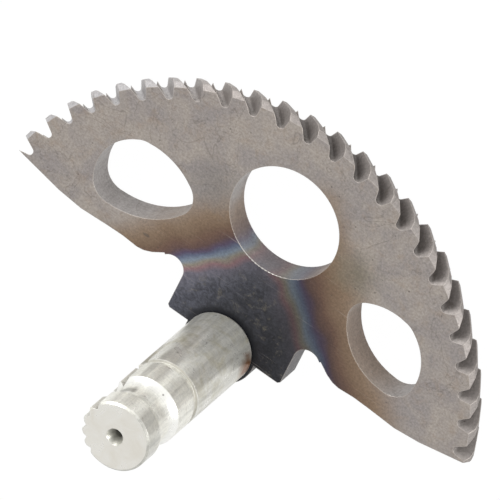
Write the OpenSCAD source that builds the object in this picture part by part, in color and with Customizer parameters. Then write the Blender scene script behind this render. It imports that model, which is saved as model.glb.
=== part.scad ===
// Kick starter sector gear: a flat toothed sector plate fixed on a serrated shaft.
// Millimetres. Z runs along the shaft, the back face of the plate is at z = 0,
// the shaft axis passes through the origin and the teeth point to +Y.

/* [Sector plate] */
// thickness of the plate
plate_t = 7; // [6:0.5:9]
// radius over the tooth tips
tip_r = 64; // [63.6:0.1:64.4]
// radius at the bottom of the tooth gaps
root_r = 60; // [59.6:0.1:60.4]
// radius of the hidden half ring of the hub below the ears
hub_r = 9.2; // [8.9:0.1:9.4]
// half width of the hub block between the two notches
ear_x = 15.6; // [15:0.1:16]
// height of the lower edge of the hub block above the axis
ear_y = 0.8; // [0.2:0.1:1.2]
// lowest height of the two wings above the axis
wing_y = 9.2; // [8.8:0.1:9.6]
// radius of the notches beside the hub block
notch_r = 3.3; // [3:0.1:3.5]
// sideways shift of the lower outline from the shaft axis
edge_x = 0.7; // [0:0.1:0.8]

/* [Teeth] */
// number of teeth on the full circle
full_teeth = 54; // [54:1:54]
// number of tooth gaps cut in the sector
gaps = 24; // [20:1:24]
// helix angle of the left flank of the teeth in degrees
helix = 37; // [34:1:40]
// helix angle of the right flank, the teeth get thinner towards the back
helix_r = 49; // [46:1:50]
// pressure angle in the normal section in degrees
press = 18; // [15:1:20]
// half width of a gap in the normal section at mid height
gap_w = 1.3; // [1.2:0.05:1.4]
// radial drop of the chamfer on the front rim
chamf_f_r = 0.9; // [0.4:0.1:1.1]
// axial depth of the chamfer on the front rim
chamf_f_z = 1.5; // [0.8:0.1:2]
// radial drop of the sloping back half of the rim
chamf_b_r = 1.6; // [1:0.1:1.8]
// axial depth of the sloping back half of the rim
chamf_b_z = 4; // [2:0.1:4.4]

/* [Lightening holes] */
// height of the centre hole above the axis
mid_y = 38.4; // [38:0.1:39]
// sideways shift of the centre hole
mid_x = 0.4; // [0:0.1:0.5]
// radius of the centre hole
mid_r = 13.8; // [13.6:0.1:14.1]
// distance of the middle of a side hole from the middle line
side_x = 33.3; // [33:0.1:33.6]
// height of the middle of a side hole above the axis
side_y = 25.4; // [25:0.1:25.8]
// corner radius of the side holes
side_r = 5.5; // [5.3:0.1:5.7]

/* [Shaft] */
// length of the shaft above the front face of the plate
shaft_h = 49.7; // [48:0.1:52]
// radius of the ground journal
journal_r = 8.5; // [8.3:0.05:8.7]
// height of the dark neck between plate and journal
neck_h = 0.5; // [0.4:0.1:1]
// radius of the neck
neck_r = 8.1; // [7.9:0.05:8.2]
// radius of the spigot held in the plate
spigot_r = 6; // [5.5:0.1:6.5]
// height of the ring groove above the front face
ring_z = 26.4; // [26:0.1:27]
// width of the ring groove
ring_w = 1.9; // [1.3:0.1:2.1]
// radius at the bottom of the ring groove
ring_r = 7.8; // [7.6:0.1:8]
// height of the middle of the clamp groove above the front face
clamp_z = 39.7; // [39:0.1:40.5]
// half width of the clamp groove at the surface
clamp_w = 4.2; // [3.8:0.1:4.6]
// radius of the hollow section of the clamp groove
clamp_r = 6.5; // [6:0.1:8]
// chamfer on the free end
end_chamf = 0.5; // [0.3:0.1:0.8]
// radius of the centre drilling at the end face
drill_r = 2.1; // [1.8:0.1:2.4]

/* [Serrations] */
// number of V grooves
vees = 5; // [3:1:5]
// angle of the first V groove in degrees
vee_a = 151; // [150:1:152]
// angle from one V groove to the next in degrees
vee_step = 22; // [21:0.5:23]
// depth of a V groove
vee_d = 1.2; // [1:0.1:1.3]
// half width of a V groove at the surface
vee_w = 1.55; // [1.4:0.05:1.6]
// height above the front face where the V grooves reach full depth
vee_z = 21; // [20:0.5:24]
// radius of the cutter that leaves the run-out
vee_cut = 10; // [8:1:14]

/* [Hidden] */
pitch_a = 360 / full_teeth;
gap_h = (tip_r - root_r) / 2 + 0.2;
steel = [0.60, 0.57, 0.54];
bright = [0.80, 0.79, 0.76];

// arc centre of a bulging side from corner p to corner q, both rounded by r
function side_c(p, q, r, R) = let(
    m = (p + q) / 2, d = norm(q - p), u = (q - p) / d,
    h = sqrt((R - r) * (R - r) - d * d / 4)
  ) [m[0] - u[1] * h, m[1] + u[0] * h];

// point beyond corner p on the ray from the arc centre c
function ray_p(c, p, e) = p + (p - c) / norm(p - c) * e;

// rounded triangle with bulging sides; corners P run counter-clockwise
module bulged(P, r, R) {
  C = [for (i = [0:2]) side_c(P[i], P[(i + 1) % 3], r, R[i])];
  for (p = P) translate(p) circle(r = r + 0.04, $fn = 96);
  intersection() {
    polygon([for (i = [0:2]) each [
      ray_p(C[i], P[i], 12), ray_p(C[i], P[(i + 1) % 3], 12), P[(i + 1) % 3]]]);
    translate(C[0]) circle(r = R[0], $fn = 180);
    translate(C[1]) circle(r = R[1], $fn = 180);
    translate(C[2]) circle(r = R[2], $fn = 180);
  }
}

// right half of the plate outline below the rim, mirrored for the left half
half_pts = [
  [ear_x - 0.6, ear_y], [ear_x, ear_y + 0.6], [ear_x, 10],
  [ear_x + notch_r, 10], [ear_x + 1.85 * notch_r, 10 + 0.75 * notch_r], [24.3, wing_y + 1.4],
  [26.2, wing_y + 0.5], [28, wing_y + 0.2], [32, wing_y + 0.5], [36, wing_y + 0.4], [43.5, wing_y], [50, wing_y + 0.7],
  [60.8, 12.2], [62.3, 12.6], [63, 13.4], [70, 30], [70, 70]];

module outline() {
  n = len(half_pts);
  polygon(concat(half_pts, [for (i = [n - 1:-1:0]) [-half_pts[i][0], half_pts[i][1]]]));
}

module plate_2d() {
  difference() {
    union() {
      translate([edge_x, 0]) outline();
      circle(r = hub_r, $fn = 120);
    }
    for (s = [-1, 1]) translate([edge_x + s * (ear_x + notch_r), 10])
      circle(r = notch_r, $fn = 96);
    circle(r = spigot_r, $fn = 120);
    translate([mid_x, mid_y]) circle(r = mid_r, $fn = 180);
    right_hole();
    mirror([1, 0]) left_hole();
  }
}

// side holes, both drawn on the right; the left one is fuller towards the hub
module right_hole() {
  bulged([[side_x + 4.9, side_y - 4.2], [side_x + 1.5, side_y + 4.2], [side_x - 4.9, side_y + 3.2]],
    side_r, [13.2, 13.6, 15.6]);
}

module left_hole() {
  bulged([[side_x + 5, side_y - 5.2], [side_x + 1.7, side_y + 4.1], [side_x - 7.5, side_y + 1.7]],
    side_r, [12.8, 16.8, 20.2]);
}

// blank of the rim, chamfered in front and sloping at the back
module rim_blank() {
  rotate_extrude($fn = 240) polygon([
    [0, 0], [tip_r - chamf_b_r, 0], [tip_r, chamf_b_z],
    [tip_r, plate_t - chamf_f_z], [tip_r - chamf_f_r, plate_t], [0, plate_t]]);
}

// normal section of a tooth gap with half width g, x points outward from its bottom
module gap_2d(g) {
  o = 5.5;
  w = g + (o - gap_h) * tan(press);
  f = (g - gap_h * tan(press)) * cos(press) / (1 - sin(press));
  translate([f, 0]) circle(r = f, $fn = 32);
  polygon([
    [f * (1 - sin(press)), -f * cos(press)], [o, -w], [o, w],
    [f * (1 - sin(press)), f * cos(press)]]);
}

// one pass of the cutter at the angle h; both passes meet at the front face
module gap_pass(h) {
  twist = plate_t * tan(h) / ((tip_r + root_r) / 2) * 180 / PI;
  rotate([0, 0, twist / 2]) translate([root_r, 0, plate_t / 2]) rotate([h, 0, 0])
    linear_extrude(height = 2.8 * plate_t, center = true) gap_2d(gap_w * cos(h) / cos(helix));
}

module tooth_gap(k) {
  rotate([0, 0, 90 + pitch_a * ((gaps + 1) / 2 - k)]) {
    gap_pass(helix);
    gap_pass(helix_r);
  }
}

module sector_plate() {
  color(steel) difference() {
    intersection() {
      linear_extrude(height = plate_t) plate_2d();
      rim_blank();
    }
    for (k = [1:gaps + 1]) tooth_gap(k);
  }
}

// straight V groove up to the free end
module vee_main() {
  translate([journal_r - vee_d, 0, plate_t + vee_z]) linear_extrude(height = shaft_h)
    polygon([[0, 0], [2 * vee_d, -2 * vee_w], [2 * vee_d, 2 * vee_w]]);
}

// run-out of a V groove, left by the round cutter
module vee_end() {
  translate([journal_r - vee_d + vee_cut, 0, plate_t + vee_z]) rotate([90, 0, 0])
    rotate_extrude($fn = 96) polygon([
      [vee_cut, 0], [vee_cut - 2 * vee_d, 2 * vee_w], [vee_cut - 2 * vee_d, -2 * vee_w]]);
}

module shaft() {
  top = plate_t + shaft_h;
  jz = plate_t + neck_h;
  gz = plate_t + ring_z;
  color(bright) difference() {
    rotate_extrude($fn = 120) polygon([
      [0, 0], [spigot_r, 0], [spigot_r, plate_t], [neck_r, plate_t], [neck_r, jz - 0.3],
      [journal_r - 0.2, jz], [journal_r, jz + 0.2],
      [journal_r, gz], [ring_r, gz], [ring_r, gz + ring_w], [journal_r, gz + ring_w],
      [journal_r, top - end_chamf], [journal_r - end_chamf, top],
      [drill_r, top], [0.9, top - 2.1], [0.9, top - 4], [0, top - 4.5]]);
    translate([0, 0, plate_t + clamp_z]) rotate_extrude($fn = 120)
      translate([journal_r + sqrt(clamp_r * clamp_r - clamp_w * clamp_w), 0])
        circle(r = clamp_r, $fn = 96);
    for (i = [0:vees - 1]) rotate([0, 0, vee_a + vee_step * i]) {
      vee_main();
      vee_end();
    }
  }
}

sector_plate();
shaft();
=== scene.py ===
"""Looks of a sector gear on a serrated shaft: finishes, stage, lamps and camera.

Object coordinates are metres in the frame of the CAD part. Z runs along the shaft,
the front face of the plate is at z = 7 mm and the teeth point to +Y.
"""
import math

import bpy
from mathutils import Matrix, Vector


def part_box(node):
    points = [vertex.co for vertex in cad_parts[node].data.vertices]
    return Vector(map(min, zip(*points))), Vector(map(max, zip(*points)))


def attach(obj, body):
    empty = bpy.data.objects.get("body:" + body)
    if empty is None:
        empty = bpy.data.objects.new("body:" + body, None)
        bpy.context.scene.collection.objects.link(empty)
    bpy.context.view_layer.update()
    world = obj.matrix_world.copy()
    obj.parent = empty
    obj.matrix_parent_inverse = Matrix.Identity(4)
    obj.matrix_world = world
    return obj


bl_info = {
    "name": "Sector gear finishes",
    "version": (1, 0, 0),
    "blender": (4, 5, 0),
    "location": "View3D > Sidebar > Gear",
    "description": "Finishes, stage and camera of a sector gear on a serrated shaft",
    "category": "Object",
}

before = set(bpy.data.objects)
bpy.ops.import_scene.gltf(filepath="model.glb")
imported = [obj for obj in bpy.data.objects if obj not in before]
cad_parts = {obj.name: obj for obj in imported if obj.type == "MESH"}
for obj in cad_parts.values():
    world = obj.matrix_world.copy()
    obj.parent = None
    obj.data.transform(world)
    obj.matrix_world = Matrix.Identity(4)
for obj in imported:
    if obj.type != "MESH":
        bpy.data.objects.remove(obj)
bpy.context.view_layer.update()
FRONT_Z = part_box("sector_plate")[1].z  # front face of the plate
MM = 1000  # millimetres in a metre: the materials work in millimetres
HOLE_X, HOLE_Y = 0.0004, 0.0384  # middle of the centre hole
BURR_RADIUS, BURR_THICKNESS = 0.01384, 0.00016  # just outside the edge of the centre hole
BURR_MIDDLE, BURR_REACH = -97, 37  # degrees round the hole, and degrees to each end


def tone(code, alpha=1.0):
    """Linear colour of an sRGB hex value such as 8f8680."""
    parts = [int(code[i:i + 2], 16) / 255 for i in (0, 2, 4)]
    return (*[c / 12.92 if c <= 0.04045 else ((c + 0.055) / 1.055) ** 2.4 for c in parts], alpha)


def node(tree, kind, inputs=None, stops=None, **settings):
    """Adds a node with its settings, colour stops, values and links."""
    made = tree.nodes.new(kind)
    for key, value in settings.items():
        setattr(made, key, value)
    if stops:
        ramp = made.color_ramp
        while len(ramp.elements) > 1:
            ramp.elements.remove(ramp.elements[-1])
        ramp.elements[0].position, ramp.elements[0].color = stops[0]
        for place, colour in stops[1:]:
            ramp.elements.new(place).color = colour
    for key, value in (inputs or {}).items():
        if isinstance(value, bpy.types.NodeSocket):
            tree.links.new(value, made.inputs[key])
        else:
            made.inputs[key].default_value = value
    return made


def blank(name):
    """A new material with an empty node tree, and the tree."""
    material = bpy.data.materials.new(name)
    material.use_nodes = True
    material.node_tree.nodes.clear()
    return material, material.node_tree


def bearings(tree):
    """Place in mm, its x, y and z, the distance from the shaft axis, the face normal and its z."""
    coord = node(tree, "ShaderNodeTexCoord")
    mm = node(tree, "ShaderNodeMapping", {
        "Vector": coord.outputs["Object"], "Scale": (MM, MM, MM)}).outputs[0]
    x, y, z = node(tree, "ShaderNodeSeparateXYZ", {0: mm}).outputs
    flat = node(tree, "ShaderNodeCombineXYZ", {0: x, 1: y}).outputs[0]
    radius = node(tree, "ShaderNodeVectorMath", {0: flat}, operation="LENGTH").outputs["Value"]
    face = node(tree, "ShaderNodeNewGeometry").outputs["True Normal"]
    up = node(tree, "ShaderNodeSeparateXYZ", {0: face}).outputs[2]
    return mm, x, y, z, radius, face, up


def white_rays(tree):
    """1 for rays of the camera, reflections and refraction, 0 for light on the object."""
    path = node(tree, "ShaderNodeLightPath").outputs
    seen = node(tree, "ShaderNodeMath", {
        0: path["Is Camera Ray"], 1: path["Is Glossy Ray"]}, operation="MAXIMUM").outputs[0]
    return node(tree, "ShaderNodeMath", {
        0: seen, 1: path["Is Transmission Ray"]}, operation="MAXIMUM").outputs[0]


class GearPlateFinish(bpy.types.PropertyGroup):
    """Finish of the sector plate."""
    steel: bpy.props.FloatVectorProperty(
        name="Steel", description="Ground colour of the hardened plate",
        subtype="COLOR", size=4, min=0, max=1, default=tone("a89f97"))
    cool: bpy.props.FloatVectorProperty(
        name="Cool patches", description="Colour of the blue-grey clouds",
        subtype="COLOR", size=4, min=0, max=1, default=tone("99928f"))
    warm: bpy.props.FloatVectorProperty(
        name="Warm patches", description="Colour of the brown clouds",
        subtype="COLOR", size=4, min=0, max=1, default=tone("9c8a79"))
    flank: bpy.props.FloatVectorProperty(
        name="Tooth flanks", description="Colour of the cut tooth flanks",
        subtype="COLOR", size=4, min=0, max=1, default=tone("aaa29d"))
    cloud: bpy.props.FloatProperty(
        name="Cloud size", description="Size of the mottled clouds in millimetres",
        default=9.0, min=2, max=40)
    roughness: bpy.props.FloatProperty(
        name="Roughness", description="Roughness of the plate faces",
        subtype="FACTOR", default=0.5, min=0.1, max=0.9)
    edge: bpy.props.FloatProperty(
        name="Edge rounding", description="Radius of the broken edges",
        subtype="DISTANCE", default=0.0003, min=0, max=0.001)


class GearShaftFinish(bpy.types.PropertyGroup):
    """Finish of the shaft."""
    steel: bpy.props.FloatVectorProperty(
        name="Ground steel", description="Colour of the ground journal",
        subtype="COLOR", size=4, min=0, max=1, default=tone("d6d5cd"))
    stain: bpy.props.FloatVectorProperty(
        name="Stain", description="Colour of the dull stains",
        subtype="COLOR", size=4, min=0, max=1, default=tone("aba486"))
    rust: bpy.props.FloatVectorProperty(
        name="Rust", description="Colour of the rust spot beside the plate",
        subtype="COLOR", size=4, min=0, max=1, default=tone("74481f"))
    roughness: bpy.props.FloatProperty(
        name="Roughness", description="Roughness of the ground steel",
        subtype="FACTOR", default=0.3, min=0.05, max=0.9)


class GearStage(bpy.types.PropertyGroup):
    """Lamps and floor."""
    key_power: bpy.props.FloatProperty(
        name="Key lamp", description="Power of the large lamp on the right",
        subtype="POWER", default=7.0, min=0, max=100)
    fill_power: bpy.props.FloatProperty(
        name="Fill lamp", description="Power of the large lamp on the left",
        subtype="POWER", default=8.0, min=0, max=100)
    sky: bpy.props.FloatProperty(
        name="Studio level", description="Strength of the plain light from all sides",
        default=0.55, min=0, max=2)
    floor_size: bpy.props.FloatProperty(
        name="Floor", description="Side of the floor sheet",
        subtype="DISTANCE", default=6.0, min=1, max=20)


def plate_material(look):
    """Case-hardened steel plate, blanked and milled, then heated at the hub.

    The eye sees a dull mottled brown-grey skin, straw, purple and blue heat tints round
    a black-blue hub, paler cut flanks, fine scratches, small pits and bright broken edges.
    """
    material, tree = blank("hardened_steel_plate")
    mm, x, y, z, radius, face, up = bearings(tree)
    wall = node(tree, "ShaderNodeMapRange", {
        0: node(tree, "ShaderNodeMath", {0: up}, operation="ABSOLUTE").outputs[0],
        1: 0.9, 2: 0.5, 3: 0.0, 4: 1.0}).outputs[0]

    # clouds of the hardened skin of 9 mm, blots of 3 mm and a grain of 0.6 mm
    clouds = node(tree, "ShaderNodeTexNoise", {
        "Vector": mm, "Scale": 1 / look.cloud, "Detail": 5.0, "Roughness": 0.6,
        "Distortion": 0.8}).outputs[0]
    blots = node(tree, "ShaderNodeTexNoise", {
        "Vector": mm, "Scale": 0.33, "Detail": 4.0, "Roughness": 0.65, "Distortion": 0.4}).outputs[0]
    grain = node(tree, "ShaderNodeTexNoise", {
        "Vector": mm, "Scale": 1.7, "Detail": 4.0, "Roughness": 0.7}).outputs[0]
    warmth = node(tree, "ShaderNodeMapRange", {0: clouds, 1: 0.38, 2: 0.62, 3: 0.0, 4: 1.0}).outputs[0]
    skin = node(tree, "ShaderNodeMix", {0: warmth, 6: look.cool, 7: look.steel}, data_type="RGBA").outputs[2]
    brown = node(tree, "ShaderNodeMapRange", {0: blots, 1: 0.52, 2: 0.72, 3: 0.0, 4: 0.4}).outputs[0]
    skin = node(tree, "ShaderNodeMix", {0: brown, 6: skin, 7: look.warm}, data_type="RGBA").outputs[2]

    # heat tints: arches over the hub, the distance runs outward in millimetres
    hot_x, blunt, slope = 1.0, 4.0, 0.83  # middle of the arches, their round top, their steepness
    waver_scale, waver_reach = 0.13, 5.0  # the edges of the bands waver by up to 2.5 mm
    side = node(tree, "ShaderNodeMath", {0: x, 1: hot_x}, operation="SUBTRACT").outputs[0]
    side = node(tree, "ShaderNodeMath", {0: side, 1: side}, operation="MULTIPLY").outputs[0]
    side = node(tree, "ShaderNodeMath", {0: side, 1: blunt ** 2}, operation="ADD").outputs[0]
    side = node(tree, "ShaderNodeMath", {0: side}, operation="SQRT").outputs[0]
    heat = node(tree, "ShaderNodeMath", {0: y, 1: slope, 2: side}, operation="MULTIPLY_ADD").outputs[0]
    waver = node(tree, "ShaderNodeTexNoise", {
        "Vector": mm, "Scale": waver_scale, "Detail": 1.0, "Roughness": 0.5}).outputs[0]
    heat = node(tree, "ShaderNodeMath", {
        0: waver, 1: waver_reach, 2: heat}, operation="MULTIPLY_ADD").outputs[0]
    heat = node(tree, "ShaderNodeMath", {0: heat, 1: waver_reach / 2}, operation="SUBTRACT").outputs[0]
    # on the right the tints are drawn out to 1.4 times the width, on both sides of the red band
    red_band = 25.5
    spread = node(tree, "ShaderNodeMapRange", {0: x, 1: 0.0, 2: 9.0, 3: 1.0, 4: 0.72}).outputs[0]
    heat = node(tree, "ShaderNodeMath", {0: heat, 1: red_band}, operation="SUBTRACT").outputs[0]
    heat = node(tree, "ShaderNodeMath", {
        0: heat, 1: spread, 2: red_band}, operation="MULTIPLY_ADD").outputs[0]
    first, last = 10, 50  # the colour ramp runs over these millimetres
    step = node(tree, "ShaderNodeMapRange", {0: heat, 1: first, 2: last, 3: 0.0, 4: 1.0}).outputs[0]
    bands = [(10, "34353b"), (19, "3f4048"), (22, "4b4b53"), (24.2, "55525b"), (25.8, "6d5558"),
             (27.3, "6e695f"), (28.7, "66707b"), (30.0, "4f5669"), (31.2, "493f52"), (32.8, "57433f"),
             (34.8, "6a5245"), (37, "7b6552"), (40, "897460"), (44, "8f7b68"), (49, "96877a")]
    tint = node(tree, "ShaderNodeValToRGB", {0: step}, stops=[
        ((place - first) / (last - first), tone(code)) for place, code in bands]).outputs[0]
    heated = node(tree, "ShaderNodeMapRange", {0: heat, 1: 49.0, 2: 39.0, 3: 0.0, 4: 1.0},
                  interpolation_type="SMOOTHSTEP").outputs[0]
    # painted light and shade on the hub: the scale is painted paler on the left and nearly black on the
    # right
    shade = node(tree, "ShaderNodeMapRange", {0: x, 1: -16.0, 2: 12.0, 3: 2.15, 4: 0.47}).outputs[0]
    core = node(tree, "ShaderNodeMapRange", {0: heat, 1: 36.0, 2: 24.0, 3: 0.0, 4: 1.0}).outputs[0]
    shade = node(tree, "ShaderNodeMix", {0: core, 2: 1.0, 3: shade}, data_type="FLOAT").outputs[0]
    tint = node(tree, "ShaderNodeVectorMath", {0: tint, "Scale": shade}, operation="SCALE").outputs[0]
    skin = node(tree, "ShaderNodeMix", {0: heated, 6: skin, 7: tint}, data_type="RGBA").outputs[2]

    # dull smears on both sides of the centre hole, and the painted shade of a small dent on the left wing
    smears = (((20.0, 38.0, 7.0), 9.0, "77705f", 0.75), ((-17.5, 36.0, 7.0), 10.0, "7f7a77", 0.7))
    for centre, size, colour, amount in smears:
        far = node(tree, "ShaderNodeVectorMath", {0: mm, 1: centre}, operation="DISTANCE").outputs["Value"]
        far = node(tree, "ShaderNodeMath", {
            0: blots, 1: size, 2: far}, operation="MULTIPLY_ADD").outputs[0]
        far = node(tree, "ShaderNodeMapRange", {
            0: far, 1: size * 1.35, 2: size * 0.5, 3: 0.0, 4: amount}).outputs[0]
        skin = node(tree, "ShaderNodeMix", {0: far, 6: skin, 7: tone(colour)}, data_type="RGBA").outputs[2]
    # painted shade of the dent: a dark oval spot, with no change of shape
    dent = node(tree, "ShaderNodeMapping", {"Vector": mm, "Location": (26.5, -13.6, -7.0)}).outputs[0]
    dent = node(tree, "ShaderNodeVectorMath", {0: dent, 1: (1.0, 2.4, 1.0)}, operation="MULTIPLY").outputs[0]
    dent = node(tree, "ShaderNodeVectorMath", {0: dent}, operation="LENGTH").outputs["Value"]
    dent = node(tree, "ShaderNodeMapRange", {0: dent, 1: 1.1, 2: 0.7, 3: 0.0, 4: 0.6}).outputs[0]
    skin = node(tree, "ShaderNodeMix", {0: dent, 6: skin, 7: tone("5c544e")}, data_type="RGBA").outputs[2]

    # smudges of soot and rubbed spots on the hub
    smudge = node(tree, "ShaderNodeTexNoise", {
        "Vector": mm, "Scale": 0.55, "Detail": 6.0, "Roughness": 0.7, "Distortion": 1.2}).outputs[0]
    hub = node(tree, "ShaderNodeMapRange", {0: heat, 1: 27.0, 2: 20.0, 3: 0.0, 4: 1.0}).outputs[0]
    dark = node(tree, "ShaderNodeMapRange", {0: smudge, 1: 0.4, 2: 0.6, 3: 0.55, 4: 1.12}).outputs[0]
    dark = node(tree, "ShaderNodeMix", {0: hub, 2: 1.0, 3: dark}, data_type="FLOAT").outputs[0]
    skin = node(tree, "ShaderNodeVectorMath", {0: skin, "Scale": dark}, operation="SCALE").outputs[0]
    rubbed = node(tree, "ShaderNodeTexNoise", {
        "Vector": mm, "Scale": 0.28, "Detail": 8.0, "Roughness": 0.75, "Distortion": 0.5}).outputs[0]
    rubbed = node(tree, "ShaderNodeMapRange", {0: rubbed, 1: 0.55, 2: 0.68, 3: 0.0, 4: 0.7}).outputs[0]
    rubbed = node(tree, "ShaderNodeMath", {0: rubbed, 1: hub}, operation="MULTIPLY").outputs[0]
    skin = node(tree, "ShaderNodeMix", {0: rubbed, 6: skin, 7: tone("7d776c")}, data_type="RGBA").outputs[2]

    # dark ring where the shaft enters the plate, under 2 mm wide: partly black scale, partly painted shade
    # of the recess round the shaft
    ring = node(tree, "ShaderNodeMapRange", {0: radius, 1: 10.2, 2: 9.3, 3: 0.0, 4: 0.85}).outputs[0]
    skin = node(tree, "ShaderNodeMix", {0: ring, 6: skin, 7: tone("232429")}, data_type="RGBA").outputs[2]

    # cut walls: paler steel, with the drawn lines of the tool 0.6 mm apart
    turn = node(tree, "ShaderNodeMapping", {"Vector": mm, "Scale": (1.6, 1.6, 0.15)}).outputs[0]
    lines = node(tree, "ShaderNodeTexNoise", {"Vector": turn, "Scale": 1.0, "Detail": 3.0}).outputs[0]
    cut = node(tree, "ShaderNodeMix", {
        0: lines, 6: tone("8f8a88"), 7: tone("aca7a4")}, data_type="RGBA").outputs[2]
    bare = node(tree, "ShaderNodeMix", {0: heated, 2: 1.0, 3: 0.3}, data_type="FLOAT").outputs[0]
    bare = node(tree, "ShaderNodeMath", {0: wall, 1: bare}, operation="MULTIPLY").outputs[0]
    skin = node(tree, "ShaderNodeMix", {0: bare, 6: skin, 7: cut}, data_type="RGBA").outputs[2]
    rim = node(tree, "ShaderNodeMapRange", {0: radius, 1: 59.4, 2: 59.9, 3: 0.0, 4: 0.8}).outputs[0]
    rim = node(tree, "ShaderNodeMath", {0: rim, 1: wall}, operation="MULTIPLY").outputs[0]
    # the cut flanks turn paler towards the left end
    left_pale = node(tree, "ShaderNodeMapRange", {0: x, 1: -28.0, 2: -44.0, 3: 0.0, 4: 1.0}).outputs[0]
    flank = node(tree, "ShaderNodeMix", {
        0: left_pale, 6: look.flank, 7: tone("c3c1c2")}, data_type="RGBA").outputs[2]
    skin = node(tree, "ShaderNodeMix", {0: rim, 6: skin, 7: flank}, data_type="RGBA").outputs[2]

    # painted shade in the tooth gaps, darker towards the root, on the right half and away from the front
    # face
    painted_gap_shade = node(tree, "ShaderNodeMapRange", {0: radius, 1: 59.9, 2: 63.6, 3: 0.25, 4: 0.6}).outputs[0]
    gap_shade_mask = node(tree, "ShaderNodeMapRange", {0: x, 1: -32.0, 2: -4.0, 3: 0.1, 4: 1.0}).outputs[0]
    front = node(tree, "ShaderNodeMapRange", {0: z, 1: 5.0, 2: 6.9, 3: 1.0, 4: 0.5}).outputs[0]
    gap_shade_mask = node(tree, "ShaderNodeMath", {0: gap_shade_mask, 1: front}, operation="MULTIPLY").outputs[0]
    gap_shade_mask = node(tree, "ShaderNodeMath", {0: gap_shade_mask, 1: rim}, operation="MULTIPLY").outputs[0]
    painted_gap_shade = node(tree, "ShaderNodeMix", {0: gap_shade_mask, 2: 1.0, 3: painted_gap_shade}, data_type="FLOAT").outputs[0]
    skin = node(tree, "ShaderNodeVectorMath", {0: skin, "Scale": painted_gap_shade}, operation="SCALE").outputs[0]

    # pits up to 0.6 mm wide, and scratches of 0.2 mm drawn coarse enough to show
    spots = node(tree, "ShaderNodeTexVoronoi", {"Vector": mm, "Scale": 0.45, "Randomness": 1.0})
    chosen = node(tree, "ShaderNodeSeparateColor", {0: spots.outputs["Color"]}).outputs[0]
    chosen = node(tree, "ShaderNodeMath", {0: chosen, 1: 0.72}, operation="GREATER_THAN").outputs[0]
    pit = node(tree, "ShaderNodeMapRange", {
        0: spots.outputs["Distance"], 1: 0.14, 2: 0.06, 3: 0.0, 4: 1.0}).outputs[0]
    pit = node(tree, "ShaderNodeMath", {0: pit, 1: chosen}, operation="MULTIPLY").outputs[0]
    soiled = node(tree, "ShaderNodeMath", {0: pit, 1: 0.45}, operation="MULTIPLY").outputs[0]
    skin = node(tree, "ShaderNodeMix", {0: soiled, 6: skin, 7: tone("4a423d")}, data_type="RGBA").outputs[2]
    drawn = node(tree, "ShaderNodeMapping", {
        "Vector": mm, "Rotation": (0, 0, math.radians(28)), "Scale": (0.06, 2.6, 1.0)}).outputs[0]
    scratch = node(tree, "ShaderNodeTexNoise", {"Vector": drawn, "Scale": 1.0, "Detail": 2.0}).outputs[0]
    scratch = node(tree, "ShaderNodeMapRange", {0: scratch, 1: 0.66, 2: 0.74, 3: 0.0, 4: 0.3}).outputs[0]
    skin = node(tree, "ShaderNodeMix", {0: scratch, 6: skin, 7: tone("b3aaa2")}, data_type="RGBA").outputs[2]

    # edges of dried drops, thin dark lines away from the heat tints
    drops = node(tree, "ShaderNodeTexNoise", {
        "Vector": mm, "Scale": 0.085, "Detail": 3.0, "Roughness": 0.5, "Distortion": 0.6}).outputs[0]
    drops = node(tree, "ShaderNodeMath", {0: drops, 1: 0.53}, operation="SUBTRACT").outputs[0]
    drops = node(tree, "ShaderNodeMath", {0: drops}, operation="ABSOLUTE").outputs[0]
    drops = node(tree, "ShaderNodeMapRange", {0: drops, 1: 0.007, 2: 0.0, 3: 0.0, 4: 0.45}).outputs[0]
    cold = node(tree, "ShaderNodeMath", {0: 1.0, 1: heated}, operation="SUBTRACT").outputs[0]
    drops = node(tree, "ShaderNodeMath", {0: drops, 1: cold}, operation="MULTIPLY").outputs[0]
    skin = node(tree, "ShaderNodeMix", {0: drops, 6: skin, 7: tone("6f665f")}, data_type="RGBA").outputs[2]
    speck = node(tree, "ShaderNodeMapRange", {0: grain, 1: 0.3, 2: 0.7, 3: 0.74, 4: 1.18}).outputs[0]
    skin = node(tree, "ShaderNodeVectorMath", {0: skin, "Scale": speck}, operation="SCALE").outputs[0]

    # broken edges: partly worn bare metal, partly a painted highlight where they catch the light
    soft = node(tree, "ShaderNodeBevel", {"Radius": look.edge}, samples=4).outputs[0]
    meet = node(tree, "ShaderNodeVectorMath", {0: soft, 1: face}, operation="DOT_PRODUCT").outputs["Value"]
    wear_and_edge_highlight = node(tree, "ShaderNodeMapRange", {0: meet, 1: 0.99, 2: 0.85, 3: 0.0, 4: 0.75}).outputs[0]
    skin = node(tree, "ShaderNodeMix", {0: wear_and_edge_highlight, 6: skin, 7: tone("d2cac2")}, data_type="RGBA").outputs[2]

    height = node(tree, "ShaderNodeMath", {0: pit, 1: -1.6, 2: grain}, operation="MULTIPLY_ADD").outputs[0]
    height = node(tree, "ShaderNodeMath", {0: blots, 1: 1.2, 2: height}, operation="MULTIPLY_ADD").outputs[0]
    bump = node(tree, "ShaderNodeBump", {
        "Strength": 0.35, "Distance": 0.00012, "Height": height, "Normal": soft}).outputs[0]
    rough = node(tree, "ShaderNodeMapRange", {
        0: blots, 1: 0.3, 2: 0.7, 3: look.roughness - 0.08, 4: look.roughness + 0.1}).outputs[0]
    shader = node(tree, "ShaderNodeBsdfPrincipled", {
        "Base Color": skin, "Metallic": 0.5, "Roughness": rough, "Normal": bump})
    node(tree, "ShaderNodeOutputMaterial", {"Surface": shader.outputs[0]})
    return material


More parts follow.
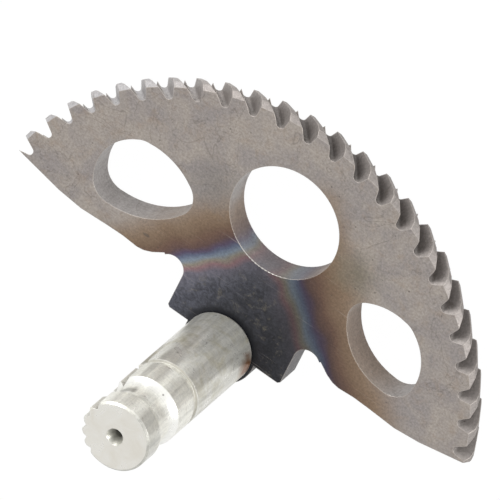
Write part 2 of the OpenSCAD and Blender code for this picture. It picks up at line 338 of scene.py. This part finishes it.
def shaft_material(look):
    """Ground and turned steel bar.

    The eye sees silvery metal with fine rings from the wheel, dull warm stains, streaks
    along the bar, a few pits, one rust spot beside the plate and a paler faced end.
    """
    material, tree = blank("ground_steel_shaft")
    mm, x, y, z, radius, face, up = bearings(tree)
    faced = node(tree, "ShaderNodeMapRange", {0: up, 1: 0.85, 2: 0.97, 3: 0.0, 4: 1.0}).outputs[0]

    # rings left by the wheel, 0.25 mm apart
    turned = node(tree, "ShaderNodeMapping", {"Vector": mm, "Scale": (0.05, 0.05, 3.8)}).outputs[0]
    rings = node(tree, "ShaderNodeTexNoise", {"Vector": turned, "Scale": 1.0, "Detail": 3.0}).outputs[0]
    # streaks along the bar and clouds of stain
    along = node(tree, "ShaderNodeMapping", {"Vector": mm, "Scale": (0.5, 0.5, 0.045)}).outputs[0]
    streak = node(tree, "ShaderNodeTexNoise", {
        "Vector": along, "Scale": 1.0, "Detail": 4.0, "Roughness": 0.6}).outputs[0]
    cloud = node(tree, "ShaderNodeTexNoise", {
        "Vector": mm, "Scale": 0.22, "Detail": 6.0, "Roughness": 0.65, "Distortion": 0.6}).outputs[0]
    fine = node(tree, "ShaderNodeTexNoise", {
        "Vector": mm, "Scale": 1.8, "Detail": 4.0, "Roughness": 0.7}).outputs[0]
    journal = node(tree, "ShaderNodeMapRange", {0: z, 1: 34.0, 2: 30.0, 3: 0.25, 4: 1.0}).outputs[0]
    dull = node(tree, "ShaderNodeMapRange", {0: cloud, 1: 0.46, 2: 0.68, 3: 0.0, 4: 0.6}).outputs[0]
    dull = node(tree, "ShaderNodeMath", {0: dull, 1: journal}, operation="MULTIPLY").outputs[0]
    steel = node(tree, "ShaderNodeMix", {0: dull, 6: look.steel, 7: look.stain}, data_type="RGBA").outputs[2]
    # tone of streaks, rings and grain; along z the turned end beyond the ring groove stays brighter
    for source, low, high, dim, bright in ((streak, 0.3, 0.7, 0.72, 1.2), (rings, 0.3, 0.7, 0.94, 1.05),
                                           (fine, 0.3, 0.7, 0.84, 1.1), (z, 32.0, 36.0, 1.0, 1.18)):
        level = node(tree, "ShaderNodeMapRange", {0: source, 1: low, 2: high, 3: dim, 4: bright}).outputs[0]
        steel = node(tree, "ShaderNodeVectorMath", {0: steel, "Scale": level}, operation="SCALE").outputs[0]

    # painted shade in the V grooves on the left side, a painted highlight on the upward-facing flanks of the
    # clamp groove and painted shade on the right side of the free end
    side = node(tree, "ShaderNodeMath", {0: up}, operation="ABSOLUTE").outputs[0]
    side = node(tree, "ShaderNodeMapRange", {0: side, 1: 0.2, 2: 0.1, 3: 0.0, 4: 1.0}).outputs[0]
    left = node(tree, "ShaderNodeMapRange", {0: x, 1: -2.5, 2: -3.2, 3: 0.0, 4: 1.0}).outputs[0]
    low = node(tree, "ShaderNodeMapRange", {0: radius, 1: 8.45, 2: 7.3, 3: 0.12, 4: 0.55}).outputs[0]
    inside = node(tree, "ShaderNodeMath", {0: radius, 1: 8.44}, operation="LESS_THAN").outputs[0]
    beyond = node(tree, "ShaderNodeMath", {0: z, 1: 36.5}, operation="GREATER_THAN").outputs[0]
    for part in (side, left, inside, beyond):
        low = node(tree, "ShaderNodeMath", {0: low, 1: part}, operation="MULTIPLY").outputs[0]
    steel = node(tree, "ShaderNodeMix", {0: low, 6: steel, 7: tone("57534c")}, data_type="RGBA").outputs[2]
    # painted highlight: upward-facing faces of the clamp groove are painted nearly white
    clamp_highlight = node(tree, "ShaderNodeMapRange", {0: up, 1: 0.2, 2: 0.5, 3: 0.0, 4: 0.7}).outputs[0]
    clamp_highlight = node(tree, "ShaderNodeMath", {0: clamp_highlight, 1: beyond}, operation="MULTIPLY").outputs[0]
    before = node(tree, "ShaderNodeMath", {0: z, 1: 51.5}, operation="LESS_THAN").outputs[0]
    clamp_highlight = node(tree, "ShaderNodeMath", {0: clamp_highlight, 1: before}, operation="MULTIPLY").outputs[0]
    steel = node(tree, "ShaderNodeMix", {0: clamp_highlight, 6: steel, 7: tone("f4f4f1")}, data_type="RGBA").outputs[2]
    # painted shade: the right side of the free end is painted darker
    tail = node(tree, "ShaderNodeMapRange", {0: z, 1: 50.8, 2: 51.6, 3: 0.0, 4: 1.0}).outputs[0]
    right = node(tree, "ShaderNodeMapRange", {0: x, 1: 0.0, 2: 5.0, 3: 1.0, 4: 0.7}).outputs[0]
    right = node(tree, "ShaderNodeMix", {0: tail, 2: 1.0, 3: right}, data_type="FLOAT").outputs[0]
    steel = node(tree, "ShaderNodeVectorMath", {0: steel, "Scale": right}, operation="SCALE").outputs[0]

    # pits and short nicks
    spots = node(tree, "ShaderNodeTexVoronoi", {"Vector": mm, "Scale": 0.42, "Randomness": 1.0})
    chosen = node(tree, "ShaderNodeSeparateColor", {0: spots.outputs["Color"]}).outputs[0]
    chosen = node(tree, "ShaderNodeMath", {0: chosen, 1: 0.8}, operation="GREATER_THAN").outputs[0]
    pit = node(tree, "ShaderNodeMapRange", {
        0: spots.outputs["Distance"], 1: 0.13, 2: 0.07, 3: 0.0, 4: 0.7}).outputs[0]
    pit = node(tree, "ShaderNodeMath", {0: pit, 1: chosen}, operation="MULTIPLY").outputs[0]
    steel = node(tree, "ShaderNodeMix", {0: pit, 6: steel, 7: tone("5b564e")}, data_type="RGBA").outputs[2]

    # rust spot low on the right side, 3 mm above the plate
    spot = (8.2, 1.2, 9.9)
    rusty = node(tree, "ShaderNodeVectorMath", {0: mm, 1: spot}, operation="DISTANCE").outputs["Value"]
    rusty = node(tree, "ShaderNodeMath", {0: cloud, 1: 7.0, 2: rusty}, operation="MULTIPLY_ADD").outputs[0]
    rusty = node(tree, "ShaderNodeMapRange", {0: rusty, 1: 7.6, 2: 4.8, 3: 0.0, 4: 1.0}).outputs[0]
    steel = node(tree, "ShaderNodeMix", {0: rusty, 6: steel, 7: look.rust}, data_type="RGBA").outputs[2]

    # faced end, paler, and the black neck in the plate: partly scale, partly painted shade where the shaft
    # meets the plate
    pale = node(tree, "ShaderNodeMix", {
        0: cloud, 6: tone("f0f0ec"), 7: tone("d8d2c5")}, data_type="RGBA").outputs[2]
    steel = node(tree, "ShaderNodeMix", {0: faced, 6: steel, 7: pale}, data_type="RGBA").outputs[2]
    neck = node(tree, "ShaderNodeMapRange", {0: z, 1: 7.55, 2: 7.35, 3: 0.0, 4: 1.0}).outputs[0]
    steel = node(tree, "ShaderNodeMix", {0: neck, 6: steel, 7: tone("26262b")}, data_type="RGBA").outputs[2]
    # painted shade in the centre drilling, darker with depth
    bore = node(tree, "ShaderNodeMapRange", {0: z, 1: 56.6, 2: 54.8, 3: 0.0, 4: 0.5}).outputs[0]
    core = node(tree, "ShaderNodeMath", {0: radius, 1: 2.2}, operation="LESS_THAN").outputs[0]
    bore = node(tree, "ShaderNodeMath", {0: bore, 1: core}, operation="MULTIPLY").outputs[0]
    steel = node(tree, "ShaderNodeMix", {0: bore, 6: steel, 7: tone("5f5d58")}, data_type="RGBA").outputs[2]

    # broken edges: partly worn bare metal, partly a painted highlight along the edges
    soft = node(tree, "ShaderNodeBevel", {"Radius": 0.00025}, samples=4).outputs[0]
    meet = node(tree, "ShaderNodeVectorMath", {0: soft, 1: face}, operation="DOT_PRODUCT").outputs["Value"]
    wear_and_edge_highlight = node(tree, "ShaderNodeMapRange", {0: meet, 1: 0.98, 2: 0.8, 3: 0.0, 4: 0.7}).outputs[0]
    steel = node(tree, "ShaderNodeMix", {0: wear_and_edge_highlight, 6: steel, 7: tone("efeee8")}, data_type="RGBA").outputs[2]
    height = node(tree, "ShaderNodeMath", {0: pit, 1: -2.0, 2: rings}, operation="MULTIPLY_ADD").outputs[0]
    bump = node(tree, "ShaderNodeBump", {
        "Strength": 0.25, "Distance": 0.00006, "Height": height, "Normal": soft}).outputs[0]
    rough = node(tree, "ShaderNodeMapRange", {
        0: cloud, 1: 0.3, 2: 0.7, 3: look.roughness - 0.06, 4: look.roughness + 0.14}).outputs[0]
    shader = node(tree, "ShaderNodeBsdfPrincipled", {
        "Base Color": steel, "Metallic": 0.5, "Roughness": rough, "Normal": bump})
    node(tree, "ShaderNodeOutputMaterial", {"Surface": shader.outputs[0]})
    return material


def burr_material():
    """Torn steel of a burr: bare bright metal, ragged and slightly rough."""
    material, tree = blank("torn_bright_steel")
    coord = node(tree, "ShaderNodeTexCoord")
    ragged = node(tree, "ShaderNodeTexNoise", {
        "Vector": coord.outputs["Object"], "Scale": 1500.0, "Detail": 3.0}).outputs[0]
    colour = node(tree, "ShaderNodeMix", {
        0: ragged, 6: tone("a59f9b"), 7: tone("f2efea")}, data_type="RGBA").outputs[2]
    bump = node(tree, "ShaderNodeBump", {
        "Strength": 0.5, "Distance": 0.0001, "Height": ragged}).outputs[0]
    shader = node(tree, "ShaderNodeBsdfPrincipled", {
        "Base Color": colour, "Metallic": 0.8, "Roughness": 0.35, "Normal": bump})
    node(tree, "ShaderNodeOutputMaterial", {"Surface": shader.outputs[0]})
    return material


def floor_material():
    """Matte white paper. The camera and reflections see it white, with a faint shadow."""
    material, tree = blank("matte_white_paper")
    plain = 0.97  # share of plain white, the rest takes the shadow
    share = node(tree, "ShaderNodeMath", {0: white_rays(tree), 1: plain}, operation="MULTIPLY").outputs[0]
    paper = node(tree, "ShaderNodeBsdfDiffuse", {"Color": tone("f4f4f4")}).outputs[0]
    white = node(tree, "ShaderNodeEmission", {"Color": (1, 1, 1, 1), "Strength": 1.02}).outputs[0]
    both = node(tree, "ShaderNodeMixShader", {0: share, 1: paper, 2: white}).outputs[0]
    node(tree, "ShaderNodeOutputMaterial", {"Surface": both})
    return material


class GEAR_OT_plate_finish(bpy.types.Operator):
    """Give the sector plate its hardened and heat-tinted finish"""
    bl_idname = "gear.plate_finish"
    bl_label = "Plate finish"

    def execute(self, context):
        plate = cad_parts["sector_plate"]
        made = plate_material(context.scene.gear_plate)
        plate.data.materials.clear()
        plate.data.materials.append(made)
        return {"FINISHED"}


class GEAR_OT_shaft_finish(bpy.types.Operator):
    """Give the shaft its ground steel finish"""
    bl_idname = "gear.shaft_finish"
    bl_label = "Shaft finish"

    def execute(self, context):
        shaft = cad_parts["shaft"]
        made = shaft_material(context.scene.gear_shaft)
        shaft.data.materials.clear()
        shaft.data.materials.append(made)
        return {"FINISHED"}


class GEAR_OT_hole_burr(bpy.types.Operator):
    """Add the ragged burr on the lower edge of the centre hole"""
    bl_idname = "gear.hole_burr"
    bl_label = "Hole burr"

    def execute(self, context):
        bpy.ops.object.select_all(action="DESELECT")
        middle = Vector((HOLE_X, HOLE_Y, FRONT_Z))
        bpy.ops.mesh.primitive_torus_add(
            major_radius=BURR_RADIUS, minor_radius=BURR_THICKNESS, major_segments=300, minor_segments=8,
            location=middle)
        burr = context.active_object
        burr.name = burr.data.name = "hole_burr"
        bpy.ops.object.transform_apply(location=True, rotation=True, scale=True)
        for v in burr.data.vertices:  # ragged height, and tapered to both ends of the arc
            angle = math.degrees(math.atan2(v.co.y - middle.y, v.co.x - middle.x))
            way = (angle - BURR_MIDDLE) / BURR_REACH
            turn = math.radians(angle)
            core = middle + Vector((math.cos(turn), math.sin(turn), 0)) * BURR_RADIUS
            wobble = 0.65 + 0.3 * math.sin(angle * 2.9) + 0.25 * math.sin(angle * 7.3 + 1)
            v.co = core + (v.co - core) * max(0.05, (1 - min(1.0, abs(way)) ** 2) * wobble)
            v.select = abs(way) > 1
        for e in burr.data.edges:
            e.select = all(burr.data.vertices[i].select for i in e.vertices)
        for f in burr.data.polygons:
            f.select = all(burr.data.vertices[i].select for i in f.vertices)
        bpy.ops.object.mode_set(mode="EDIT")
        bpy.ops.mesh.delete(type="VERT")
        bpy.ops.mesh.select_all(action="SELECT")
        bpy.ops.mesh.fill_holes(sides=0)
        bpy.ops.mesh.select_all(action="SELECT")
        bpy.ops.mesh.normals_make_consistent(inside=False)
        bpy.ops.object.mode_set(mode="OBJECT")
        bpy.ops.object.shade_smooth()
        burr.data.materials.append(burr_material())
        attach(burr, "root")
        return {"FINISHED"}


class GEAR_OT_stage(bpy.types.Operator):
    """Add the floor, the lamps, the world and the camera"""
    bl_idname = "gear.stage"
    bl_label = "Stage"

    def execute(self, context):
        look = context.scene.gear_stage
        bpy.ops.object.select_all(action="DESELECT")
        bpy.ops.mesh.primitive_plane_add(size=look.floor_size, location=(0, 0, -0.0004))
        floor = context.active_object
        floor.name = floor.data.name = "floor"
        bpy.ops.object.transform_apply(location=True, rotation=True, scale=True)
        floor.data.materials.append(floor_material())

        # camera with a very long lens, as the photograph shows no perspective
        right = Vector((0.80434, 0.36889, -0.46579))
        down = Vector((0.56422, -0.71996, 0.40412))
        ahead = Vector((-0.18628, -0.58785, -0.78723))
        spot = Vector((0.826977, 2.648431, 3.5178))
        bpy.ops.object.camera_add()
        camera = context.active_object
        camera.name = "camera"
        camera.data.sensor_width, camera.data.lens = 36.0, 1440.0
        camera.data.clip_start, camera.data.clip_end = 0.1, 50.0
        turn = Matrix((right, -down, -ahead)).transposed()
        camera.matrix_world = Matrix.Translation(spot) @ turn.to_4x4()
        context.scene.camera = camera

        aim = Vector((0.0, 0.025, 0.015))
        for name, way, power, size in (
                ("key_lamp", -ahead * 0.7 + right * 0.9 + down * 0.35, look.key_power, 0.5),
                ("fill_lamp", -ahead * 0.6 - right * 0.6 - down * 0.8, look.fill_power, 0.7)):
            bpy.ops.object.light_add(type="AREA", location=aim + way)
            lamp = context.active_object
            lamp.name = name
            lamp.data.energy, lamp.data.size = power, size
            lamp.rotation_euler = (-way).to_track_quat("-Z", "Y").to_euler()

        world = bpy.data.worlds.new("studio")
        context.scene.world = world
        world.use_nodes = True
        tree = world.node_tree
        tree.nodes.clear()
        level = node(tree, "ShaderNodeMix", {
            0: white_rays(tree), 2: look.sky, 3: 1.0}, data_type="FLOAT").outputs[0]
        back = node(tree, "ShaderNodeBackground", {"Color": (1, 1, 1, 1), "Strength": level}).outputs[0]
        node(tree, "ShaderNodeOutputWorld", {"Surface": back})
        context.scene.view_settings.view_transform = "Standard"
        return {"FINISHED"}


class GEAR_PT_panel(bpy.types.Panel):
    """Buttons and settings of the sector gear"""
    bl_label = "Sector gear"
    bl_idname = "GEAR_PT_panel"
    bl_space_type = "VIEW_3D"
    bl_region_type = "UI"
    bl_category = "Gear"

    def draw(self, context):
        scene = context.scene
        for name, group in (("plate_finish", scene.gear_plate), ("shaft_finish", scene.gear_shaft),
                            ("hole_burr", None), ("stage", scene.gear_stage)):
            box = self.layout.box()
            box.operator("gear." + name)
            for key in (group.__annotations__ if group else ()):
                box.prop(group, key)


CLASSES = (GearPlateFinish, GearShaftFinish, GearStage, GEAR_OT_plate_finish, GEAR_OT_shaft_finish,
           GEAR_OT_hole_burr, GEAR_OT_stage, GEAR_PT_panel)


def register():
    for made in CLASSES:
        bpy.utils.register_class(made)
    bpy.types.Scene.gear_plate = bpy.props.PointerProperty(type=GearPlateFinish)
    bpy.types.Scene.gear_shaft = bpy.props.PointerProperty(type=GearShaftFinish)
    bpy.types.Scene.gear_stage = bpy.props.PointerProperty(type=GearStage)


def unregister():
    del bpy.types.Scene.gear_plate, bpy.types.Scene.gear_shaft, bpy.types.Scene.gear_stage
    for made in reversed(CLASSES):
        bpy.utils.unregister_class(made)


def main():
    register()
    bpy.ops.gear.stage()
    bpy.ops.gear.plate_finish()
    bpy.ops.gear.shaft_finish()
    bpy.ops.gear.hole_burr()


if __name__ == "__main__":
    main()
